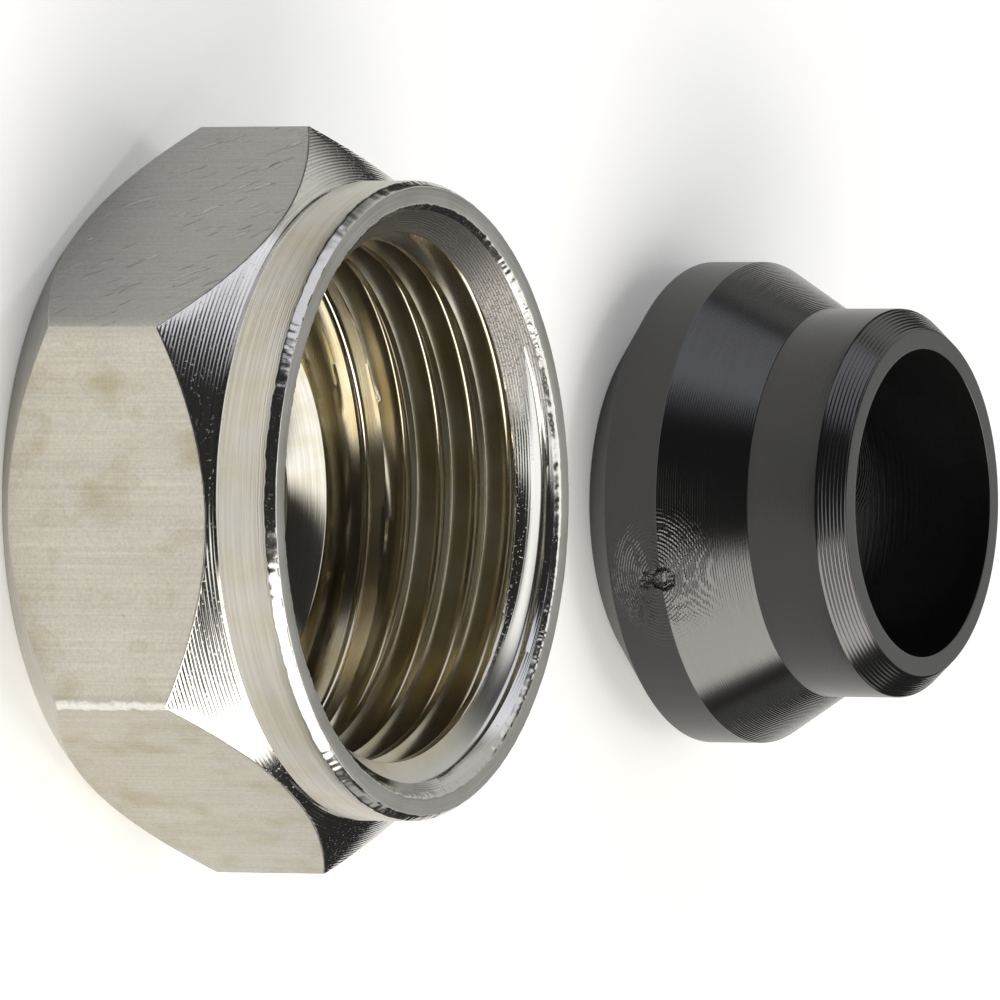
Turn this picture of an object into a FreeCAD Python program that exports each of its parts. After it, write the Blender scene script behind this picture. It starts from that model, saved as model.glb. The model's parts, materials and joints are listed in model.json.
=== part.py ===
import FreeCAD, Part
import os

import Sketcher

# Union for a 15 mm heating pipe, in millimetres, +Z up.
# A hexagon nut stands on its pipe end with its threaded mouth up, and its axis is the Z axis.
# The ring that the nut clamps onto the pipe stands beside it, on its wide end.

DRIVING_SIZES = {
    # Pipe and the fits on it
    "pipe_diameter": 15.0,
    "nut_pipe_clearance": 0.25,
    "ring_pipe_clearance": 0.05,
    "ring_thread_clearance": 0.2,
    # Nut, outside
    "across_flats": 30.0,
    "hexagon_turn": 3.1,
    "nut_height": 14.3,
    "back_face_diameter": 28.6,
    "hexagon_chamfer_angle": 45.0,
    "collar_diameter": 29.5,
    "collar_height": 3.1,
    "relief_width": 0.25,
    "relief_depth": 0.15,
    "rim_face_diameter": 29.0,
    "rim_chamfer_height": 0.44,
    # Nut, inside: G 3/4 thread, drawn at its minor diameter
    "mouth_diameter": 27.28,
    "mouth_chamfer_angle": 45.0,
    "thread_minor_diameter": 24.12,
    "shoulder_rise": 1.0,
    "seat_height": 3.86,
    "pipe_hole_land": 2.04,
    "pipe_hole_chamfer": 0.2,
    # The ring's rear cone and the seat in the nut share one angle to the axis
    "seat_angle": 51.0,
    # Clamping ring, from its wide end up
    "rear_cone_height": 2.3,
    "band_height": 2.8,
    "front_cone_height": 3.8,
    "nose_height": 3.7,
    "nose_chamfer_height": 1.2,
    "nose_chamfer_width": 1.05,
    "nose_wall": 2.0,
    "ring_edge_round": 0.12,
    "ring_distance": 53.5,
}


def size_sheet(doc):
    """Spreadsheet with one driving size in each row: its name, and its value under that alias."""
    sheet = doc.addObject("Spreadsheet::Sheet", "Sizes")
    for row, (name, value) in enumerate(DRIVING_SIZES.items(), start=1):
        sheet.set(f"A{row}", name)
        sheet.set(f"B{row}", str(value))
        sheet.setAlias(f"B{row}", name)
    doc.recompute()
    return sheet


def origin_plane(body, role):
    """One of the body's own three origin planes."""
    return next(part for part in body.Origin.OriginFeatures if part.Role == role)


def new_sketch(body, name, role):
    """Empty sketch on one of the body's origin planes."""
    sketch = body.newObject("Sketcher::SketchObject", name)
    sketch.AttachmentSupport = [(origin_plane(body, role), "")]
    sketch.MapMode = "FlatFace"
    return sketch


def bind(sketch, constraint, name, expression):
    """Name a sketch dimension and tie it to the sheet."""
    index = sketch.addConstraint(constraint)
    sketch.renameConstraint(index, name)
    sketch.setExpression(f"Constraints.{name}", expression)


def turned_profile(body, name, corners):
    """Closed outline of a turned form, in the plane of the axis.

    Each corner is a name, its radius and its height, the last two as expressions of the sheet.
    A radius of None lies on the axis, and a height of None on the plane z = 0.
    """
    sketch = new_sketch(body, name, "XZ_Plane")
    count = len(corners)
    rough = [FreeCAD.Vector(10 + index, 1 + index * index, 0) for index in range(count)]
    for index in range(count):
        sketch.addGeometry(Part.LineSegment(rough[index], rough[(index + 1) % count]), False)
    for index in range(count):
        sketch.addConstraint(Sketcher.Constraint("Coincident", index, 2, (index + 1) % count, 1))
    for index, (corner, radius, height) in enumerate(corners):
        start = rough[index]
        for kind, axis, place, size, expression in (("DistanceX", -2, "radius", start.x, radius),
                                                    ("DistanceY", -1, "height", start.y, height)):
            if expression is None:
                sketch.addConstraint(Sketcher.Constraint("PointOnObject", index, 1, axis))
            else:
                bind(sketch, Sketcher.Constraint(kind, -1, 1, index, 1, size), f"{corner}_{place}", expression)
    return sketch


def turn(body, kind, name, sketch):
    """Revolve a profile a full turn about the axis, as a solid or as a cut."""
    feature = body.newObject(kind, name)
    feature.Profile = sketch
    feature.ReferenceAxis = (sketch, ["V_Axis"])
    feature.Angle = 360.0
    sketch.Visibility = False
    return feature


def hexagon_sketch(body):
    """Regular hexagon about the axis, with a flat towards -Y before it is turned."""
    sketch = new_sketch(body, "HexagonOutline", "XY_Plane")
    spoke = FreeCAD.Vector(DRIVING_SIZES["across_flats"] / 3 ** 0.5, 0, 0)
    spin = FreeCAD.Rotation(FreeCAD.Vector(0, 0, 1), 60)
    corners = [spoke]
    for _ in range(5):
        corners.append(spin.multVec(corners[-1]))
    for index in range(6):
        sketch.addGeometry(Part.LineSegment(corners[index], corners[(index + 1) % 6]), False)
    circle = sketch.addGeometry(Part.Circle(FreeCAD.Vector(0, 0, 0), FreeCAD.Vector(0, 0, 1), spoke.Length), True)
    radius = sketch.addGeometry(Part.LineSegment(FreeCAD.Vector(0, 0, 0), spoke), True)
    for index in range(6):
        sketch.addConstraint(Sketcher.Constraint("Coincident", index, 2, (index + 1) % 6, 1))
        sketch.addConstraint(Sketcher.Constraint("PointOnObject", index, 1, circle))
    for index in range(1, 6):
        sketch.addConstraint(Sketcher.Constraint("Equal", 0, index))
    sketch.addConstraint(Sketcher.Constraint("Coincident", circle, 3, -1, 1))
    sketch.addConstraint(Sketcher.Constraint("Coincident", radius, 1, -1, 1))
    sketch.addConstraint(Sketcher.Constraint("Coincident", radius, 2, 0, 1))
    bind(sketch, Sketcher.Constraint("Radius", circle, spoke.Length), "corner_circle",
         "Sizes.across_flats / sqrt(3)")
    bind(sketch, Sketcher.Constraint("Angle", -1, 1, radius, 1, 0.05), "turn", "Sizes.hexagon_turn * 1 deg")
    return sketch


def union_nut(doc):
    """Nut turned from hexagon bar: chamfered hexagon, round collar, threaded mouth and conical seat."""
    body = doc.addObject("PartDesign::Body", "UnionNut")
    body.Label = "union_nut"

    bar = body.newObject("PartDesign::Pad", "HexagonBar")
    bar.Profile = hexagon_sketch(body)
    bar.setExpression("Length", "Sizes.nut_height")

    # The chamfers are cones about the axis, so each meets a flat in a curve that dips between the corners.
    # The cuts reach out to two thirds of the width across flats, past the corners at 0.577 of it.
    outside = "(Sizes.across_flats / 1.5)"
    slope = "tan(Sizes.hexagon_chamfer_angle * 1 deg)"
    back = turned_profile(body, "BackChamferOutline", [
        ("face", "Sizes.back_face_diameter / 2", None),
        ("outer", outside, None),
        ("flank", outside, f"({outside} - Sizes.back_face_diameter / 2) * {slope}"),
    ])
    turn(body, "PartDesign::Groove", "BackChamfer", back)

    collar = "Sizes.collar_diameter / 2"
    base = "(Sizes.nut_height - Sizes.collar_height)"
    front = turned_profile(body, "CollarOutline", [
        ("flank", outside, f"{base} - ({outside} - {collar}) * {slope}"),
        ("outer", outside, "Sizes.nut_height"),
        ("rim", "Sizes.rim_face_diameter / 2", "Sizes.nut_height"),
        ("edge", collar, "Sizes.nut_height - Sizes.rim_chamfer_height"),
        ("relief_top", collar, f"{base} + Sizes.relief_width"),
        ("relief_inner", f"{collar} - Sizes.relief_depth", f"{base} + Sizes.relief_width"),
        ("relief_floor", f"{collar} - Sizes.relief_depth", base),
        ("foot", collar, base),
    ])
    turn(body, "PartDesign::Groove", "Collar", front)

    # Inside, from the mouth down: chamfer, thread wall, shallow shoulder cone, conical seat, pipe hole
    mouth = "Sizes.mouth_diameter / 2"
    thread = "Sizes.thread_minor_diameter / 2"
    hole = "(Sizes.pipe_diameter / 2 + Sizes.nut_pipe_clearance)"
    mouth_slope = "tan(Sizes.mouth_chamfer_angle * 1 deg)"
    seat = f"{hole} + (Sizes.seat_height - Sizes.pipe_hole_land) * tan(Sizes.seat_angle * 1 deg)"
    inside = turned_profile(body, "CavityOutline", [
        ("axis_top", None, "Sizes.nut_height"),
        ("axis_foot", None, None),
        ("back_edge", f"{hole} + Sizes.pipe_hole_chamfer", None),
        ("hole_foot", hole, "Sizes.pipe_hole_chamfer"),
        ("hole_top", hole, "Sizes.pipe_hole_land"),
        ("seat_top", seat, "Sizes.seat_height"),
        ("wall_foot", thread, "Sizes.seat_height + Sizes.shoulder_rise"),
        ("wall_top", thread, f"Sizes.nut_height - ({mouth} - {thread}) * {mouth_slope}"),
        ("mouth", mouth, "Sizes.nut_height"),
    ])
    turn(body, "PartDesign::Groove", "Cavity", inside)
    return body


def compression_ring(doc):
    """Clamping ring: rear cone for the nut's seat, wide band, front cone and nose, with the pipe's bore."""
    body = doc.addObject("PartDesign::Body", "CompressionRing")
    body.Label = "compression_ring"
    bore = "(Sizes.pipe_diameter / 2 + Sizes.ring_pipe_clearance)"
    band = "(Sizes.thread_minor_diameter / 2 - Sizes.ring_thread_clearance)"
    nose = f"({bore} + Sizes.nose_wall)"
    band_foot = "Sizes.rear_cone_height"
    band_top = f"{band_foot} + Sizes.band_height"
    cone_top = f"{band_top} + Sizes.front_cone_height"
    nose_top = f"{cone_top} + Sizes.nose_height"
    ring_top = f"{nose_top} + Sizes.nose_chamfer_height"
    rear = f"{band} - Sizes.rear_cone_height * tan(Sizes.seat_angle * 1 deg)"
    outline = turned_profile(body, "RingOutline", [
        ("bore_foot", bore, None),
        ("rear", rear, None),
        ("band_foot", band, band_foot),
        ("band_top", band, band_top),
        ("cone_top", nose, cone_top),
        ("nose_top", nose, nose_top),
        ("face", f"{nose} - Sizes.nose_chamfer_width", ring_top),
        ("bore_top", bore, ring_top),
    ])
    form = turn(body, "PartDesign::Revolution", "RingForm", outline)

    # Every edge but the bore's two is slightly rounded
    doc.recompute()
    radii = {index: edge.Curve.Radius for index, edge in enumerate(form.Shape.Edges, start=1)
             if isinstance(edge.Curve, Part.Circle)}
    bore_radius = min(radii.values())
    rounds = body.newObject("PartDesign::Fillet", "RingEdges")
    rounds.Base = (form, [f"Edge{index}" for index, radius in radii.items() if radius > bore_radius * 1.001])
    rounds.setExpression("Radius", "Sizes.ring_edge_round")
    body.setExpression("Placement.Base.y", "Sizes.ring_distance")
    return body


def check(doc, bodies):
    """Stop before anything is written if a feature failed or a piece is not one sound solid."""
    doc.recompute()
    for item in doc.Objects:
        if "Invalid" in item.State or "Error" in item.State:
            raise RuntimeError(f"{item.Name} failed: {item.State}")
    for body in bodies:
        shape = body.Shape
        if shape.isNull() or not shape.isValid() or len(shape.Solids) != 1:
            raise RuntimeError(f"{body.Label} is not one sound solid")


def main():
    doc = FreeCAD.newDocument("Union")
    size_sheet(doc)
    bodies = [union_nut(doc), compression_ring(doc)]
    check(doc, bodies)
    os.makedirs("parts", exist_ok=True)
    for body in bodies:
        print(f"{body.Label}: {body.Shape.Volume:.1f} mm3")
        body.Shape.exportStep(f"parts/{body.Label}.step")


main()
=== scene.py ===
"""Looks of a pipe union: the nickel-plated nut with its thread, and the black ring that it clamps."""
import json
import math

import bmesh
import bpy
import numpy as np
from mathutils import Matrix, Vector


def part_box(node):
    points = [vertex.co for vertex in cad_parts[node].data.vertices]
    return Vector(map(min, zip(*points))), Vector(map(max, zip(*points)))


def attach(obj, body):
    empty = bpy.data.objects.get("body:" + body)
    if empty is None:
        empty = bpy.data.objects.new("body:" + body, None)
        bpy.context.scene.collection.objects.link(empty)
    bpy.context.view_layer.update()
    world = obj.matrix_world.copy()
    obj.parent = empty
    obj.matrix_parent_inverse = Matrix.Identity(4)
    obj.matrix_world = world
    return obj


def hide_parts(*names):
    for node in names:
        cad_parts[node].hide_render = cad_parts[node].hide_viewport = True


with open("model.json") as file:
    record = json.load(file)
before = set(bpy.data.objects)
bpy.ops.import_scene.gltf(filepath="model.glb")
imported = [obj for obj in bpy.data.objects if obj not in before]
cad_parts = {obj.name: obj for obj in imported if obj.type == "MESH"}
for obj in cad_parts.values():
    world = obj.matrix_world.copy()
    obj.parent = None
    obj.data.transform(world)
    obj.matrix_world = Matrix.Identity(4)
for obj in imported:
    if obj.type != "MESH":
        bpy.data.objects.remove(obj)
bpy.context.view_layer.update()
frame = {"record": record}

MM = 0.001

# Places and sizes that the frame gives
RIM_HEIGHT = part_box("union_nut")[1].z
RING_LOW, RING_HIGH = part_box("compression_ring")
RING_AXIS = Vector(((RING_LOW.x + RING_HIGH.x) / 2, (RING_LOW.y + RING_HIGH.y) / 2, 0.0))
RING_TOP = RING_HIGH.z
BAND_RADIUS = (RING_HIGH.x - RING_LOW.x) / 2
MOUNTS = {mount["name"]: mount for mount in frame["record"]["mounts"]}
CREST_RADIUS = MOUNTS["thread"]["dims"]["r_mm"] * MM
HOLE_RADIUS = MOUNTS["pipe_hole"]["dims"]["r_mm"] * MM
BORE_RADIUS = MOUNTS["ring_bore"]["dims"]["r_mm"] * MM
NOSE_RADIUS = MOUNTS["ring_nose"]["dims"]["r_mm"] * MM

# Nut, outside
ACROSS_FLATS = 30.0 * MM
HEXAGON_TURN = math.radians(3.1)
BACK_FACE_RADIUS = 14.3 * MM
COLLAR_RADIUS = 14.75 * MM
COLLAR_FOOT = RIM_HEIGHT - 3.1 * MM
RELIEF_DEPTH = 0.15 * MM
RELIEF_WIDTH = 0.25 * MM
RIM_OUTER_RADIUS = 14.5 * MM
RIM_CHAMFER = 0.44 * MM
RIM_INNER_RADIUS = 13.64 * MM
EDGE_SOFTNESS = 0.05 * MM

# Wear: the radius of each corner edge of the hexagon in millimetres, and the corner that is worn most
CORNER_WEAR = (0.18, 0.18, 0.18, 0.18, 0.14, 0.26)
WORN_CORNER = 5
WORN_CORNER_TURN = HEXAGON_TURN + WORN_CORNER * math.pi / 3

# Nut, inside: a right-hand 55 degree pipe thread with rounded roots and crests cut flat
PITCH = 1.814 * MM
ROOT_RADIUS = 13.17 * MM
ROOT_ROUND = 0.249 * MM
FLANK_ANGLE = math.radians(27.5)
FIRST_ROOT_DEPTH = 0.57 * MM
FIRST_ROOT_TURN = math.radians(90)
UNDERCUT_RADIUS = 13.18 * MM
UNDERCUT_TOP = 5.3 * MM
UNDERCUT_ROUND = 0.3 * MM
SHOULDER = 4.2 * MM
SEAT_TOP_RADIUS = 9.3 * MM
SEAT_ANGLE = math.radians(51)
HOLE_LAND = SHOULDER - (SEAT_TOP_RADIUS - HOLE_RADIUS) / math.tan(SEAT_ANGLE)
HOLE_CHAMFER = 0.2 * MM
THREAD_TOP = RIM_HEIGHT - 0.25 * MM
WALL_PER_DROP = 1.4

# Ring
REAR_RADIUS = 9.02 * MM
REAR_CONE = 2.3 * MM
BAND = 2.8 * MM
FRONT_CONE = 3.8 * MM
NOSE_CHAMFER = 1.2 * MM
NOSE_CHAMFER_WIDTH = 1.05 * MM
RING_EDGE_ROUND = 0.12 * MM
BORE_EDGE_ROUND = 0.03 * MM

# Gate mark: its place around the ring, the reach that its depth is worked out in, and for each of its two
# pits how far it lies below the band's upper edge and to the side, its radius and its depth, in millimetres
GATE_TURN = math.radians(288.6)
GATE_REACH = math.radians(10)
GATE_LOW, GATE_HIGH, GATE_INNER = 2.6 * MM, 7.0 * MM, 10.0 * MM
GATE_PITS = ((0.0, 0.0, 0.62, 0.17), (0.78, 0.05, 0.47, 0.15))

# Mesh: columns around each piece and how much closer they lie at the hexagon's corners and at the gate mark,
# the angle from which an edge stays sharp, and the distance within which points merge
COLUMNS = 336
RIM_COLUMNS = 4 * COLUMNS
CORNER_CLOSENESS = 0.8
RING_COLUMNS = 560
GATE_CLOSENESS = 0.72
SHARP_ANGLE = math.radians(35)
MERGE_DISTANCE = 0.0004 * MM

# Finishes of the nut and of the ring, as the numbers of their materials
FLATS, CHAMFERS, COLLAR, TORN, RIM, THREAD, SEAT = range(7)
RING_MATTE, RING_TURNED, RING_NOSE, RING_BORED = range(4)


def add_mesh(name, points, faces, uvs, finishes, materials):
    """Mesh object from whole arrays, smooth, with edges over the sharp angle kept sharp.

    Faces are rows of four point numbers, with the last one repeated for a triangle.
    """
    mesh = bpy.data.meshes.new(name)
    mesh.from_pydata(points.reshape(-1, 3), [], [])
    three = faces[:, 3] == faces[:, 2]
    counts = np.where(three, 3, 4)
    kept = np.ones(faces.shape, bool)
    kept[three, 3] = False
    loops = faces[kept]
    mesh.loops.add(len(loops))
    mesh.loops.foreach_set("vertex_index", loops.astype(np.int32))
    mesh.polygons.add(len(faces))
    mesh.polygons.foreach_set("loop_start", (np.cumsum(counts) - counts).astype(np.int32))
    mesh.polygons.foreach_set("material_index", finishes.astype(np.int32))
    mesh.update(calc_edges=True)
    layer = mesh.uv_layers.new(name="turning")
    layer.data.foreach_set("uv", uvs[kept].astype(np.float32).ravel())
    for material in materials:
        mesh.materials.append(material)
    merged = bmesh.new()
    merged.from_mesh(mesh)
    bmesh.ops.remove_doubles(merged, verts=merged.verts, dist=MERGE_DISTANCE)
    merged.to_mesh(mesh)
    merged.free()
    mesh.validate()
    mesh.polygons.foreach_set("use_smooth", np.ones(len(mesh.polygons), bool))
    mesh.set_sharp_from_angle(angle=SHARP_ANGLE)
    piece = bpy.data.objects.new(name, mesh)
    bpy.context.scene.collection.objects.link(piece)
    return piece


def soft_least(first, second, reach):
    """The lesser of two lengths, rounded where they differ by less than the reach."""
    share = np.clip(0.5 + 0.5 * (second - first) / reach, 0, 1)
    return second * (1 - share) + first * share - reach * share * (1 - share)


def soft_step(value):
    """0 below 0, 1 above 1, and an S curve between."""
    value = np.clip(value, 0, 1)
    return value * value * (3 - 2 * value)


def ragged(place, length, wave, seed):
    """Random values from -1 to 1, one for each wave along a closed length, joined by straight lines."""
    count = max(3, int(round(length / wave)))
    values = np.random.default_rng(seed).uniform(-1, 1, count + 1)
    values[-1] = values[0]
    return np.interp(np.mod(place / length, 1.0) * count, np.arange(count + 1), values)


def column_angles(count):
    """Angles around the nut: even steps through each sixth of a turn, drawn closer at its two corners."""
    step = np.arange(count) / count * 6
    sixth, share = np.floor(step), step - np.floor(step)
    share = share - CORNER_CLOSENESS * np.sin(2 * np.pi * share) / (2 * np.pi)
    return HEXAGON_TURN + (sixth + share) * np.pi / 3


def corner_wear(angle, height):
    """Radius of the hexagon's corner edges: soft on all, and dented along the worn one."""
    corner = np.round((angle - HEXAGON_TURN) / (np.pi / 3)) % 6
    worn = np.take(CORNER_WEAR, corner.astype(int))
    dents = np.where(corner == WORN_CORNER, 0.16, 0.04)
    along = height + corner * 3.7 * MM
    noise = ragged(along, 40 * MM, 0.9 * MM, 11) + 0.6 * ragged(along, 40 * MM, 0.41 * MM, 12)
    return (worn + dents * 0.6 * noise) * MM


def hexagon_radius(angle, height):
    """Distance from the axis to the hexagon: a flat's straight line, or the arc that rounds its corner."""
    turn = np.mod(angle - HEXAGON_TURN + np.pi / 6, np.pi / 3) - np.pi / 6
    turn = np.abs(turn)
    flat = ACROSS_FLATS / 2 / np.cos(np.pi / 6 - turn)
    wear = corner_wear(angle, height)
    centre = (ACROSS_FLATS / 2 - wear) / math.cos(np.pi / 6)
    reach = np.arctan2(wear * 0.5, centre + wear * math.cos(np.pi / 6))
    round_part = centre * np.cos(turn) + np.sqrt(np.maximum(wear ** 2 - (centre * np.sin(turn)) ** 2, 0))
    return np.where(turn < reach, round_part, flat)


def thread_radius(angle, height):
    """Distance from the axis to the thread.

    From the nearest root, the wall is an arc, then a straight flank, then the flat crest at the bore.
    The undercut takes the last turn away, and the cone of the mouth the first.
    """
    root = RIM_HEIGHT - FIRST_ROOT_DEPTH + PITCH * (angle - FIRST_ROOT_TURN) / (2 * np.pi)
    away = np.abs(np.mod(height - root + PITCH / 2, PITCH) - PITCH / 2)
    tangent = ROOT_ROUND * math.cos(FLANK_ANGLE)
    arc = ROOT_RADIUS - ROOT_ROUND + np.sqrt(np.maximum(ROOT_ROUND ** 2 - away ** 2, 0))
    flank = (ROOT_RADIUS - ROOT_ROUND * (1 - math.sin(FLANK_ANGLE))
             - (away - tangent) / math.tan(FLANK_ANGLE))
    groove = np.where(away < tangent, arc, flank)
    undercut = UNDERCUT_RADIUS - np.maximum(height - UNDERCUT_TOP, 0) / math.tan(FLANK_ANGLE)
    groove = np.maximum(groove, undercut)
    bored = -soft_least(-groove, np.full_like(groove, -CREST_RADIUS), 0.035 * MM)
    cone = RIM_INNER_RADIUS - (RIM_HEIGHT - height)
    return -soft_least(-bored, -cone, 0.02 * MM)


def rounded_corner(before, corner, after, radius, count=5):
    """Points of the arc that rounds a corner of a profile."""
    before, corner, after = (np.array(point) for point in (before, corner, after))
    back = (before - corner) / np.linalg.norm(before - corner)
    ahead = (after - corner) / np.linalg.norm(after - corner)
    half = math.acos(np.clip(back @ ahead, -1, 1)) / 2
    centre = corner + (back + ahead) / np.linalg.norm(back + ahead) * radius / math.sin(half)
    start = corner + back * radius / math.tan(half) - centre
    end = corner + ahead * radius / math.tan(half) - centre
    turn = math.atan2(start[0] * end[1] - start[1] * end[0], start @ end)
    shares = np.linspace(0, 1, count) * turn
    return [centre + np.array([math.cos(t) * start[0] - math.sin(t) * start[1],
                               math.sin(t) * start[0] + math.cos(t) * start[1]]) for t in shares]


def nut_outside(angle):
    """Rows of (radius, height, finish above the row), from the pipe hole's back edge up to the collar.

    The hexagon's rows follow the curves in which the two 45 degree cones meet its flats. The upper curve is
    a little uneven, as the tool left it.
    """
    flat = np.ones_like(angle)
    corner = hexagon_radius(angle, 6 * MM * flat)
    low = corner - BACK_FACE_RADIUS
    high = COLLAR_FOOT - (corner - COLLAR_RADIUS)
    high = high + 0.02 * MM * ragged(angle * COLLAR_RADIUS, 2 * np.pi * COLLAR_RADIUS, 0.3 * MM, 61)
    rows = []
    for radius in (HOLE_RADIUS + HOLE_CHAMFER, 9 * MM, 12 * MM, 14.05 * MM, 14.2 * MM):
        rows.append((radius * flat, 0 * flat, CHAMFERS))
    rows.append(((BACK_FACE_RADIUS - 0.01 * MM) * flat, 0.003 * MM * flat, CHAMFERS))
    lower = [low * share for share in (0.06, 0.3, 0.6, 0.85)]
    lower += [low + step * MM for step in (-0.05, -0.02)]
    flats = [low + step * MM for step in (0.02, 0.05)]
    flats += [low + (high - low) * share for share in np.linspace(0.02, 0.98, 24)]
    flats += [high + step * MM for step in (-0.05, -0.02)]
    upper = [high + step * MM for step in (0.02, 0.05)]
    upper += [high + (COLLAR_FOOT - high) * share for share in (0.3, 0.55, 0.8, 0.94)]
    for heights, finish in ((lower, CHAMFERS), (flats, FLATS), (upper, CHAMFERS)):
        for height in heights:
            upright = hexagon_radius(angle, height)
            cones = np.minimum(BACK_FACE_RADIUS + height, COLLAR_RADIUS + COLLAR_FOOT - height)
            rows.append((soft_least(upright, cones, EDGE_SOFTNESS), height, finish))
    relief = [(COLLAR_RADIUS, COLLAR_FOOT), (COLLAR_RADIUS - RELIEF_DEPTH, COLLAR_FOOT + 0.01 * MM),
              (COLLAR_RADIUS - RELIEF_DEPTH, COLLAR_FOOT + RELIEF_WIDTH - 0.06 * MM),
              (COLLAR_RADIUS - 0.03 * MM, COLLAR_FOOT + RELIEF_WIDTH)]
    rows += [(radius * flat, height * flat, CHAMFERS) for radius, height in relief]
    sides = [(COLLAR_RADIUS, COLLAR_FOOT + RELIEF_WIDTH + 0.03 * MM),
             (COLLAR_RADIUS, RIM_HEIGHT - 1.6 * MM)]
    rows += [(radius * flat, height * flat, COLLAR) for radius, height in sides]
    return rows


def nut_rim(angle):
    """Rows over the rim: torn outer chamfer, flat face, and the burr where the mouth's cone begins.

    Each tear is a depth times uneven values, whose wave and seed are given. Depths and waves are in
    millimetres.
    """
    flat = np.ones_like(angle)

    def uneven(wave, seed):
        """Random values around the rim, one for each wave."""
        return ragged(angle * RIM_OUTER_RADIUS, 2 * np.pi * RIM_OUTER_RADIUS, wave * MM, seed)

    foot = RIM_CHAMFER + (0.03 * uneven(0.55, 21) + 0.035 * uneven(0.21, 22)) * MM
    head = (0.008 * uneven(0.4, 23) + 0.01 * uneven(0.13, 24)) * MM
    width = COLLAR_RADIUS - RIM_OUTER_RADIUS
    rows = [(COLLAR_RADIUS * flat, RIM_HEIGHT - 1.0 * MM * flat, COLLAR),
            (COLLAR_RADIUS * flat, RIM_HEIGHT - foot - 0.06 * MM, COLLAR),
            (COLLAR_RADIUS - 0.008 * MM * flat, RIM_HEIGHT - foot, TORN)]
    for share, seed in ((0.2, 31), (0.4, 32), (0.6, 33), (0.8, 34)):
        bite = np.abs(0.002 * uneven(0.3, seed) + 0.004 * uneven(0.1, seed + 9)) * MM
        radius = COLLAR_RADIUS - share * (width + head) - bite
        rows.append((radius, RIM_HEIGHT - foot * (1 - share) - bite, TORN))
    rows += [(RIM_OUTER_RADIUS - head - 0.01 * MM, RIM_HEIGHT - 0.012 * MM * flat, TORN),
             (RIM_OUTER_RADIUS - head - 0.05 * MM, RIM_HEIGHT * flat, RIM),
             ((RIM_OUTER_RADIUS + RIM_INNER_RADIUS) / 2 * flat, RIM_HEIGHT * flat, RIM)]
    lip = (0.03 * uneven(0.5, 41) + 0.035 * uneven(0.14, 42)) * MM
    rows += [(RIM_INNER_RADIUS + 0.06 * MM + lip, RIM_HEIGHT * flat, TORN),
             (RIM_INNER_RADIUS + 0.01 * MM + lip, RIM_HEIGHT - 0.015 * MM * flat, TORN)]
    for drop, seed in ((0.07, 51), (0.13, 52), (0.19, 53)):
        bite = np.abs(0.012 * uneven(0.26, seed) + 0.012 * uneven(0.1, seed + 9)) * MM
        radius = RIM_INNER_RADIUS - drop * MM + bite + lip * (1 - drop / 0.25)
        rows.append((radius, RIM_HEIGHT - drop * MM * flat, TORN))
    return rows


def profile_length(rows):
    """Distance along the profile to each row, measured in the first column, at a corner of the hexagon."""
    radius = np.array([row[0][0] for row in rows])
    height = np.array([row[1][0] for row in rows])
    return np.concatenate([[0], np.cumsum(np.hypot(np.diff(radius), np.diff(height)))])


def place(angle, radius, height, centre=(0.0, 0.0)):
    """Points at a distance from an upright axis."""
    return np.stack([centre[0] + radius * np.cos(angle), centre[1] + radius * np.sin(angle), height], -1)


def join_rows(low_start, low_count, high_start, high_count, low_length, high_length, around):
    """Faces between two closed rows of points, where one row may have twice as many as the other.

    Equal rows give one quad a column. Otherwise each long edge takes three triangles. The map's first
    number runs around the axis and its second along the profile, both in metres.
    """
    count = min(low_count, high_count)
    column = np.arange(count)
    after = column + 1
    if low_count == high_count:
        faces = np.stack([low_start + column, low_start + after % count,
                          high_start + after % count, high_start + column], -1)
        across = np.stack([column, after, after, column], -1) / count * around
        along = np.broadcast_to([low_length, low_length, high_length, high_length], across.shape)
        return faces, np.stack([across, along], -1)
    low_step, high_step = low_count // count, high_count // count
    low_left, low_right = low_start + column * low_step, low_start + after * low_step % low_count
    high_left, high_right = high_start + column * high_step, high_start + after * high_step % high_count
    if low_step == 2:
        middle, level = low_left + 1, low_length
        triangles = [(low_left, middle, high_left), (middle, low_right, high_right),
                     (middle, high_right, high_left)]
        shares = [(0, 0.5, 0), (0.5, 1, 1), (0.5, 1, 0)]
        levels = [(level, level, high_length), (level, level, high_length),
                  (level, high_length, high_length)]
    else:
        middle, level = high_left + 1, high_length
        triangles = [(low_left, middle, high_left), (low_right, high_right, middle),
                     (low_left, low_right, middle)]
        shares = [(0, 0.5, 0), (1, 1, 0.5), (0, 1, 0.5)]
        levels = [(low_length, level, level), (low_length, level, level), (low_length, low_length, level)]
    faces, uvs = [], []
    for corners, share, length in zip(triangles, shares, levels):
        faces.append(np.stack([*corners, corners[2]], -1))
        across = (column[:, None] + np.array([*share, share[2]])[None, :]) / count * around
        along = np.broadcast_to([*length, length[2]], across.shape)
        uvs.append(np.stack([across, along], -1))
    return np.concatenate(faces), np.concatenate(uvs)


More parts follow.
